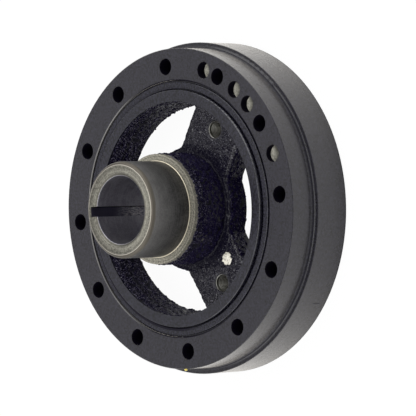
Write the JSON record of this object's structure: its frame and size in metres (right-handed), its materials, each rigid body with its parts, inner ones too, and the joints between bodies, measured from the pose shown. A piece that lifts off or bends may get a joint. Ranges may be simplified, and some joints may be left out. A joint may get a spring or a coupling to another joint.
{
  "type": "harmonic balancer",
  "caption": "Crankshaft harmonic balancer with a keyed nose, an open spoked hub, a bonded elastomer ring and a stepped inertia ring with drilled balance holes.",
  "frame": {"origin": "on the crankshaft axis, in the plane of the inertia ring's front face, on which the part lies", "axes": "+Z along the axis from the pulley side to the end of the nose; +Y from the axis through the key slot; +X completes a right-handed frame"},
  "size_m": [0.1714, 0.1714, 0.0759],
  "materials": {
    "hub": "black paint on rough casting, nose and shoulder turned bright",
    "elastomer_ring": "matte, painted over",
    "inertia_ring": "satin black paint over turned faces"
  },
  "bodies": {
    "root": {"hub": "hub", "elastomer_ring": "elastomer_ring", "inertia_ring": "inertia_ring"}
  },
  "joints": []
}
